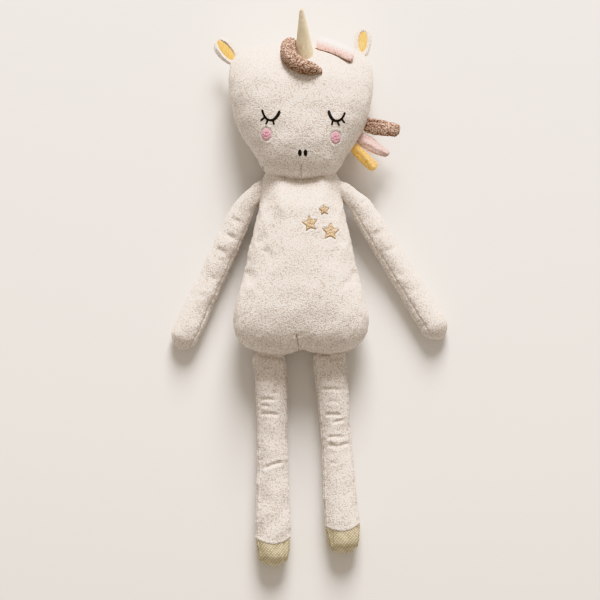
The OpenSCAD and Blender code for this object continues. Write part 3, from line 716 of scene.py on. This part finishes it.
arm = {"voxel": 3.0, "grow": 2.2, "cap": 2.4, "waves": 17, "seams": {"left": 44, "right": 30}, "backSeam": -52,
       "seamDepth": 0.9, "endRound": 16.0, "endTaper": 0.72, "rootDraw": 6.5,
       # distance from the shoulder, shares of the half width from and to, depth, width
       "folds": {
           "left": [(17, 0.9, 0.1, 1.0, 1.7), (48, 0.7, -0.4, 0.6, 2.6), (66, 0.9, -0.2, 0.5, 2.4),
                    (90, 0.6, -0.4, 0.6, 3.0), (108, 0.8, -0.2, 0.4, 2.6)],
           "right": [(32, 0.6, -0.4, 0.9, 2.2), (47, 0.5, -0.5, 1.1, 2.4), (62, 0.7, -0.3, 0.9, 2.4),
                     (88, 0.3, -0.5, 0.7, 2.8), (106, 0.5, -0.4, 0.5, 2.8)]}}
leg = {"voxel": 3.0, "grow": 2.2, "cap": 2.4, "waves": 17, "seamTurn": 14, "seamDepth": 0.7, "seamLip": 0.9,
       "topSpread": {"left": 3.0, "right": 2.5}, "topWiden": 0.17, "topDraw": 9.0, "topSink": 0.06,
       # both ends on the plan, depth, width
       "folds": {
           "left": [(18.0, -113.4, 37.0, -113.9, 1.3, 1.6), (20.4, -136.2, 37.4, -136.8, 1.2, 1.5),
                    (27.6, -143.4, 44.0, -140.6, 1.1, 1.4), (22.6, -156.6, 39.4, -156.4, 1.0, 1.5),
                    (23.4, -163.2, 34.0, -165.6, 1.4, 1.7), (33.0, -165.6, 43.4, -162.0, 1.3, 1.6),
                    (24.0, -86.0, 41.0, -86.8, 2.8, 1.5), (12.0, -81.5, 27.0, -82.0, 2.4, 1.5),
                    (22.0, -124.4, 36.0, -125.0, 0.6, 2.0), (25.5, -180.0, 33.0, -180.6, 0.5, 1.6)],
           "right": [(-37.4, -122.4, -22.0, -123.0, 1.2, 1.5), (-40.0, -127.8, -27.0, -129.2, 1.0, 1.4),
                     (-36.4, -135.4, -19.4, -136.4, 1.2, 1.6), (-37.5, -106.4, -20.5, -105.8, 0.7, 1.8),
                     (-29.0, -117.2, -18.0, -116.6, 0.7, 1.5), (-33.6, -184.6, -16.0, -178.4, 1.5, 1.5),
                     (-41.0, -82.0, -14.0, -86.0, 3.0, 1.6), (-38.5, -91.0, -22.0, -92.0, 0.9, 1.8),
                     (-34.0, -176.0, -40.0, -175.4, 0.6, 1.4)]}}
hoof = {"height": 26.0, "dip": 5.5, "lip": 2.2, "narrow": 0.1, "endRound": 10.0, "endTaper": 0.42}


class Limb:
    # a limb's own directions and the middle of its section at each distance from its root

    def __init__(self, piece, root):
        points = readPoints(piece)
        self.root = np.array(root)
        far = points[np.argsort(-np.linalg.norm(points[:, :2] - self.root[:2], axis=1))[:200]].mean(axis=0)
        flat = far[:2] - self.root[:2]
        self.along = np.array([*(flat / np.linalg.norm(flat)), 0.0])
        self.side = np.array([-self.along[1], self.along[0], 0.0])
        distance = (points - self.root) @ self.along
        self.length = float(distance.max())
        self.stations = np.linspace(distance.min() + 0.002, distance.max() - 0.002, 40)
        middles = []
        for s in self.stations:
            near = points[np.abs(distance - s) < 0.004]
            local = np.stack([(near - self.root) @ self.side, near[:, 2]], axis=1)
            middles.append([*((local.min(axis=0) + local.max(axis=0)) / 2), np.ptp(local[:, 0]) / 2])
        self.middles = np.array(middles)

    def local(self, points):
        # how far along and how far across each point lies
        return (points - self.root) @ self.along, (points - self.root) @ self.side

    def section(self, s):
        # sideways place, height and half width at s
        return [np.interp(s, self.stations, self.middles[:, i]) for i in range(3)]

    def middle(self, s):
        across, height, _ = self.section(s)
        place = self.root + self.along * s + self.side * across
        return Vector((place[0], place[1], height))

    def seamPath(self, tree, turn, toSide, start, end, steps=60):
        # where a seam turned that far above the side lies on the cover
        a = math.radians(turn)
        ray = Vector(self.side) * toSide * math.cos(a) + up * math.sin(a)
        hits = [tree.ray_cast(self.middle(s), ray)[0] for s in np.linspace(start, end, steps)]
        return [tuple(hit) for hit in hits if hit]


def fitWidth(piece, limb, panels):
    # brings the cover's sides out to the CAD panels' seams
    panel = np.concatenate([readPoints(frame["nodes"][node]) for node in panels])
    s, across = limb.local(panel)
    inner = (s > 0.35 * limb.length) & (s < 0.75 * limb.length)
    beside = across[inner] - limb.section(s[inner])[0]
    factor = np.ptp(beside) / 2 / np.median(limb.middles[14:30, 2])
    points = readPoints(piece)
    s, across = limb.local(points)
    shift = (across - limb.section(s)[0]) * (np.clip(factor, 1, 1.16) - 1) * smoothRise(s, 0.0, 0.03)
    writePoints(piece, points + limb.side * shift[:, None])
    print("  widened", piece.name, "by", round(float(factor), 3))
    return Limb(piece, limb.root)


def roundEnd(points, limb, length, taper):
    # draws the corners of the far end in, over a length in mm
    s, across = limb.local(points)
    t = np.clip((s - limb.length) / (length * mm) + 1, 0, 1)
    points = points - limb.side * ((across - limb.section(s)[0]) * (1 - np.sqrt(1 - taper * t ** 2)))[:, None]
    points[:, 2] *= 1 - 0.6 * taper * t ** 2
    return points


def makeLimb(name, part, root, setting):
    piece = softCopy(name, [part + "_stuffing"], setting["voxel"], setting["grow"])
    inflate(piece, sewnNowhere, setting["cap"])
    restOnFloor(piece)
    addAndApply(piece, "SUBSURF", levels=2, render_levels=2)
    undulate(piece, unevenness, setting["waves"], len(name))
    return piece, fitWidth(piece, Limb(piece, root), coveredBy(part)[:2])


for side, sign in (("left", 1), ("right", -1)):
    root = hinge[side + "_arm_swing"]
    piece, limb = makeLimb(side + "ArmCover", side + "_arm", root, arm)
    inward = 1.0 if limb.side[0] * sign < 0 else -1.0  # towards the body
    writePoints(piece, roundEnd(readPoints(piece), limb, arm["endRound"], arm["endTaper"]))
    tree = surfaceOf(piece)
    seam = limb.seamPath(tree, arm["seams"][side], inward, 0.010, limb.length - 0.008)
    crease(piece, seam, 0.75, arm["seamDepth"], pucker=0.2, pitch=6.5, fade=5, seed=1.5 + sign)
    seam = limb.seamPath(tree, arm["backSeam"], -inward, 0.010, limb.length - 0.008)
    crease(piece, seam, 0.8, arm["seamDepth"], pucker=0.2, pitch=6.5, fade=5, seed=2.5 + sign)
    for s, high, low, depth, width in arm["folds"][side]:
        middle, half = limb.middle(s * mm), limb.section(s * mm)[2]
        ends = [middle - Vector(limb.side) * inward * share * half for share in (high, low)]
        plan = between((ends[0].x / mm, ends[0].y / mm), (ends[1].x / mm, ends[1].y / mm), 5, 1.2 * sign)
        crease(piece, onSurface(tree, plan), width, depth, lip=0.1 * depth, fade=4)
    # the root is drawn into the body's side seam
    points = readPoints(piece)
    near = 1 - smoothRise(limb.local(points)[0], -0.004, 0.020)
    points[:, 0] -= sign * arm["rootDraw"] * mm * near
    writePoints(piece, points)
    pile(piece, velourPile, 11 + sign)
    restOnFloor(piece, soft=0.4)
    finishPiece(piece, creamVelour, side + "_arm", coveredBy(side + "_arm"),
                blend=(side + "_shoulder", side + "_arm",
                       root - Vector(limb.along) * 0.006, root + Vector(limb.along) * 0.014))

for side, sign in (("left", 1), ("right", -1)):
    root = hinge[side + "_hip_fold"]
    piece, limb = makeLimb(side + "LegCover", side + "_leg", root, leg)
    # the top is drawn up under the body
    points = readPoints(piece)
    near = 1 - smoothRise(-points[:, 1], 0.084, 0.104)
    points[:, 1] += leg["topDraw"] * mm * near
    points[:, 2] += (0.020 - points[:, 2]) * leg["topSink"] * near
    points[:, 0] -= leg["topSpread"][side] * mm * (1 - smoothRise(-points[:, 1], 0.080, 0.135)) \
        * (0.5 + 0.5 * np.tanh((root.x - points[:, 0]) / (6 * mm)))
    points[:, 0] += (points[:, 0] - root.x) * leg["topWiden"] * (1 - smoothRise(-points[:, 1], 0.084, 0.104))
    writePoints(piece, points)
    tree = surfaceOf(piece)
    for toSide in (1, -1):
        seam = limb.seamPath(tree, leg["seamTurn"], toSide, 0.004, limb.length - 0.006, 90)
        crease(piece, seam, 0.7, leg["seamDepth"], pucker=0.15, pitch=7, lip=leg["seamLip"], seed=toSide + sign)
    for ax, ay, bx, by, depth, width in leg["folds"][side]:
        plan = between((ax, ay), (bx, by), 5, 1.0)
        crease(piece, onSurface(tree, plan), width, depth, lip=0.1 * depth, fade=3.5)

    # the velour ends in a scallop, lapped over the hoof
    hoofPiece = link(bpy.data.objects.new(side + "HoofCover", piece.data.copy()))
    for part in (piece, hoofPiece):
        points, outwards = readPoints(part), readNormals(part)
        s, beside = limb.local(points)
        across, _, half = limb.section(s)
        share = np.clip((beside - across) / half, -1, 1)
        past = s - (limb.length - hoof["height"] * mm + hoof["dip"] * mm * (1 - share ** 2))
        if part is piece:
            rim = 0.25 * np.exp(-((past / mm + 1.6) / 1.2) ** 2)
            shift = rim - hoof["lip"] * smoothRise(past, -0.5 * mm, 1.6 * mm)
        else:
            shift = -0.35 - hoof["lip"] * (1 - smoothRise(past, -2.5 * mm, -0.4 * mm))
        points += outwards * shift[:, None] * mm
        narrowing = (limb.local(points)[1] - across) * hoof["narrow"] * smoothRise(past, 0, 0.014)
        points -= limb.side * narrowing[:, None]
        writePoints(part, roundEnd(points, limb, hoof["endRound"], hoof["endTaper"]))
    end = Vector(limb.root) + Vector(limb.along) * limb.length
    cutAt(piece, end - Vector(limb.along) * 0.013, limb.along)
    cutAt(hoofPiece, end - Vector(limb.along) * (hoof["height"] + 4) * mm, -limb.along)
    tree = surfaceOf(hoofPiece)
    across, _, half = limb.section(limb.length - 0.012)
    for share, depth in ((-0.6 * sign, 0.7), (0.82 * sign, 0.5)):
        top, bottom = (limb.root + limb.along * (limb.length - reach) + limb.side * (across + share * half)
                       for reach in (0.024, 0.004))
        crease(hoofPiece, onSurface(tree, between(top[:2] / mm, bottom[:2] / mm, 8)), 0.7, depth, lip=0.2)
    pile(piece, velourPile, 21 + sign)
    for part in (piece, hoofPiece):
        restOnFloor(part, soft=0.4)
    finishPiece(piece, creamVelour, side + "_leg", coveredBy(side + "_leg"),
                blend=("torso", side + "_leg", (root.x, root.y + 0.006, root.z), (root.x, root.y - 0.014, root.z)))
    finishPiece(hoofPiece, goldTwill, side + "_leg", [side + "_hoof_front", side + "_hoof_back"])
print("arms, legs and hooves sewn")


def tufts(name, cover, count, size, seed, material, body, lean=0.5):
    # looped pile: small lumps standing on the cloth, leaning at random
    generator = np.random.default_rng(seed)
    mesh = cover.data
    areas = np.array([face.area for face in mesh.polygons])
    chosen = generator.choice(len(areas), count, p=areas / areas.sum())
    model = sphereModel(name + "Model", 5, 3, (size * mm * 0.5, size * mm * 0.5, size * mm))
    places = []
    for index in chosen:
        polygon = mesh.polygons[index]
        corners = [mesh.vertices[i].co for i in polygon.vertices]
        weights = generator.dirichlet(np.ones(len(corners)))
        spot = sum((corner * float(w) for corner, w in zip(corners, weights)), Vector())
        out = (polygon.normal + Vector(generator.normal(0, lean, 3))).normalized()
        scale = float(generator.uniform(0.6, 1.15))
        turn = out.to_track_quat("Z", "Y").to_matrix().to_4x4()
        places.append(Matrix.Translation(spot) @ turn @ Matrix.Scale(scale, 4))
    piece = copyMany(name, model, places)
    bpy.data.objects.remove(model)
    finishPiece(piece, material, body)


def headed(a):
    # directions along and across a heading in radians
    return np.array([math.cos(a), math.sin(a), 0]), np.array([-math.sin(a), math.cos(a), 0])


def smallCover(name, nodes, setting, levels=1):
    piece = softCopy(name, nodes, setting["voxel"], setting["grow"])
    inflate(piece, sewnNowhere, setting["cap"], setting.get("pressure", 3.0))
    addAndApply(piece, "SUBSURF", levels=levels, render_levels=levels)
    return piece


horn = {"voxel": 1.6, "grow": 0.2, "cap": 0.4, "pressure": 1.0, "ridgeDepth": 0.5}
forelock = {"voxel": 1.8, "grow": 0.2, "cap": 1.0, "tufts": 2600, "tuftSize": 0.85}
locks = {"voxel": 1.6, "grow": 0.1, "cap": 0.8, "pressure": 2.0, "length": 27.0, "width": 11.5, "sewnIn": 3.0,
         "bend": 0.8}
ears = {"voxel": 1.3, "grow": 0.2, "cap": 0.5, "pressure": 1.0, "length": 27.0, "middle": 0.42,
        "dish": 1.9, "rim": 0.5,  # how deep the lining sits and how far the rim stands up
        "heading": {"left": 86.0, "right": 130.0}, "shift": {"left": (-4.6, -2.4), "right": (5.0, -2.6)},
        "widen": {"left": 1.0, "right": 1.12}, "lining": {"left": (9.8, 3.8), "right": (11.8, 4.0)}}

hornCover = smallCover("hornCover", ["horn_cover", "horn_stuffing"], horn, 2)
low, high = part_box("horn_cover")
tree = surfaceOf(hornCover)
base, tip = (2.0, 192.0), (4.6, high.y / mm - 2.0)
crease(hornCover, onSurface(tree, between(base, tip, 14, -0.5)), 1.0, horn["ridgeDepth"], lip=0.3, fade=3, seed=1)
crease(hornCover, onSurface(tree, between((6.5, 193), (6.0, high.y / mm - 6), 12, -0.4)), 0.9, 0.35, fade=4, seed=2)
finishPiece(hornCover, hornTwill, "head", ["horn_cover", "horn_stuffing"])

forelockCover = smallCover("forelockCover", ["forelock"], forelock)
finishPiece(forelockCover, brownVelour, "head", ["forelock"])
tufts("forelockPile", forelockCover, forelock["tufts"], forelock["tuftSize"], 31, brownVelour,
      "head")

# folds: both ends as shares of the length and width, depth, width in mm
lockLooks = {
    "crown_lock": {"name": "crownLockCover", "material": pinkVelourPaintedHighlight, "slot": "pink_velour", "widen": 0.5,
                   "up": 0.8, "slope": 0.9, "lineX": [13.6, 24.7, 36.4, 46.2],
                   "lineY": [197.5, 195.0, 190.9, 186.2]},
    "brown_lock": {"name": "brownLockCover", "material": brownVelour, "slot": "brown_velour", "heading": -8,
                   "broaden": 1.3, "taper": 0.22, "rootUp": 0.1, "rootDown": 0.42, "turn": -3, "stretch": 1.0,
                   "folds": [((-0.1, 0.22), (0.45, 0.3), 2.4, 0.9)]},
    "pink_lock": {"name": "pinkLockCover", "material": pinkVelour, "slot": "pink_velour", "heading": -29,
                  "broaden": 1.15, "taper": 0.5, "rootUp": 0.3, "rootDown": -0.05, "turn": 2, "stretch": 0.98,
                  "folds": [((0.1, -0.25), (1.0, -0.2), 0.5, 1.6), ((0.0, 0.25), (0.5, 0.2), 0.4, 1.6)]},
    "yellow_lock": {"name": "yellowLockCover", "material": yellowVelour, "slot": "yellow_velour", "heading": -46,
                    "broaden": 1.02, "taper": 0.15, "rootUp": -0.1, "rootDown": 0.1, "turn": 4, "stretch": 0.88,
                    "raise": 4.0,
                    "folds": [((0.1, -0.15), (0.7, -0.25), 0.5, 1.6), ((0.2, 0.3), (0.8, 0.28), 0.4, 1.4)]}}
for node, look in lockLooks.items():
    piece = smallCover(look["name"], [node], locks)
    if "heading" in look:
        root = np.array(hinge[node + "_flop"])
        a = math.radians(look["heading"])
        along, across = headed(a)
        points = readPoints(piece)
        u, v = (points - root) @ along / (locks["length"] * mm), (points - root) @ across
        flare = np.where(v > 0, look["rootUp"], look["rootDown"]) * (1 - smoothRise(u, 0.0, 0.7))
        points += across * (v * (look["broaden"] - 1 - look["taper"] * smoothRise(u, 0.1, 1.0) + flare))[:, None]
        points += along * (u * locks["length"] * mm * (look["stretch"] - 1))[:, None]
        points -= along * (locks["sewnIn"] * mm * (1 - smoothRise(u, 0.0, 0.35)))[:, None]  # into the head's seam
        points -= across * (locks["bend"] * mm * np.sin(3.2 * u + a))[:, None]
        points[:, 2] += look.get("raise", 0) * mm
        turn = np.array(Matrix.Rotation(math.radians(look["turn"]), 3, "Z"))
        points = root + (points - root) @ turn.T
        writePoints(piece, points)
        tree = surfaceOf(piece)
        for start, end, depth, width in look["folds"]:
            ends = [root + along * u * locks["length"] * mm + across * v * locks["width"] * mm
                    for u, v in (start, end)]
            plan = between(ends[0][:2] / mm, ends[1][:2] / mm, 9, 0.6)
            crease(piece, onSurface(tree, plan), width, depth, lip=0.3 * depth)
    else:
        points = readPoints(piece) / mm
        rise = (points[:, 1] - np.interp(points[:, 0], look["lineX"], look["lineY"])) * look["widen"] + look["up"]
        points[:, 1] += rise
        points[:, 2] -= rise * look["slope"]
        writePoints(piece, points * mm)
    pile(piece, smallPile, len(node))
    finishPiece(piece, look["material"], node, [node])
    if node == "brown_lock":
        tufts("brownLockPile", piece, 900, 0.6, 33, brownVelour, node)
print("horn, forelock and locks sewn")

for side in ("left", "right"):
    root = hinge[side + "_ear_flop"]
    piece = smallCover(side + "EarCover", [side + "_ear_back"], ears)
    a = math.radians(ears["heading"][side])
    along, across = headed(a)
    shift = np.array([*ears["shift"][side], 0]) * mm
    root, points, outwards = np.array(root) + shift, readPoints(piece) + shift, readNormals(piece)
    points += across * ((points - root) @ across * (ears["widen"][side] - 1))[:, None]
    long, wide = ears["lining"][side]
    u, v = (points - root) @ along / mm, (points - root) @ across / mm
    ring = np.sqrt(((u - ears["middle"] * ears["length"]) / (long + 0.8)) ** 2 + (v / (wide + 0.8)) ** 2)
    front = np.clip(outwards[:, 2], 0, 1)
    dish, rim = ears["dish"] * (1 - smoothRise(ring, 0.75, 1.05)), ears["rim"] * np.exp(-((ring - 1.2) / 0.18) ** 2)
    points[:, 2] += front * mm * (rim - dish)
    writePoints(piece, points)
    pile(piece, smallPile, 41)
    tree = surfaceOf(piece)
    centre = root + along * ears["middle"] * ears["length"] * mm
    place, _ = dropOn(tree, centre[0] / mm, centre[1] / mm)
    lining = sphereModel(side + "EarLining", 24, 12, (long * mm, wide * mm, 0.9 * mm))
    lining.data.transform(Matrix.Translation(place + up * 0.2 * mm) @ Matrix.Rotation(a, 4, "Z"))
    finishPiece(piece, creamVelour, side + "_ear", [side + "_ear_back"])
    finishPiece(lining, yellowSatin, side + "_ear", [side + "_ear_lining"])
bpy.data.objects.remove(stitchModel)
print("ears sewn")

for node in ("closing_stitches", "neck_stitches", "left_shoulder_thread", "right_shoulder_thread"):
    frame["nodes"][node].data.materials.clear()
    frame["nodes"][node].data.materials.append(creamStitch)

stage = {"floor": "#f2f1ef", "keyPower": 224.0, "keySize": 2.0, "keyPlace": (0.32, 3.61, 1.84), "sky": 0.465}
pickNothing()
bpy.ops.mesh.primitive_plane_add(size=6, location=(0, 0, 0))
floor = bpy.context.object
floor.name = "floor"
paper, tree, place = newMaterial("palePaper")
closeMaterial(tree, {}, {"Base Color": colour(stage["floor"]), "Roughness": 0.9, "Specular IOR Level": 0.1})
floor.data.materials.append(paper)


def areaLight(name, place, target, size, power, tint):
    data = bpy.data.lights.new(name, "AREA")
    data.shape, data.size, data.energy = "DISK", size, power
    data.color = tint
    lamp = link(bpy.data.objects.new(name, data))
    lamp.location = place
    lamp.rotation_euler = (Vector(target) - Vector(place)).to_track_quat("-Z", "Y").to_euler()


areaLight("windowLight", stage["keyPlace"], (0, 0, 0), stage["keySize"], stage["keyPower"], (1.0, 1.0, 1.02))
sky = bpy.data.worlds.new("softSky")
bpy.context.scene.world = sky
sky.use_nodes = True
sky.node_tree.nodes["Background"].inputs["Color"].default_value = (1.0, 0.885, 0.765, 1)
sky.node_tree.nodes["Background"].inputs["Strength"].default_value = stage["sky"]
bpy.context.scene.view_settings.view_transform = "Khronos PBR Neutral"

camera = {"height": 5.0, "centre": (-0.0009, -0.0324), "lens": 331.7}
lens = bpy.data.cameras.new("overhead")
lens.lens = camera["lens"]
lens.sensor_width = 36
eye = link(bpy.data.objects.new("overhead", lens))
eye.location = (*camera["centre"], camera["height"])
bpy.context.scene.camera = eye
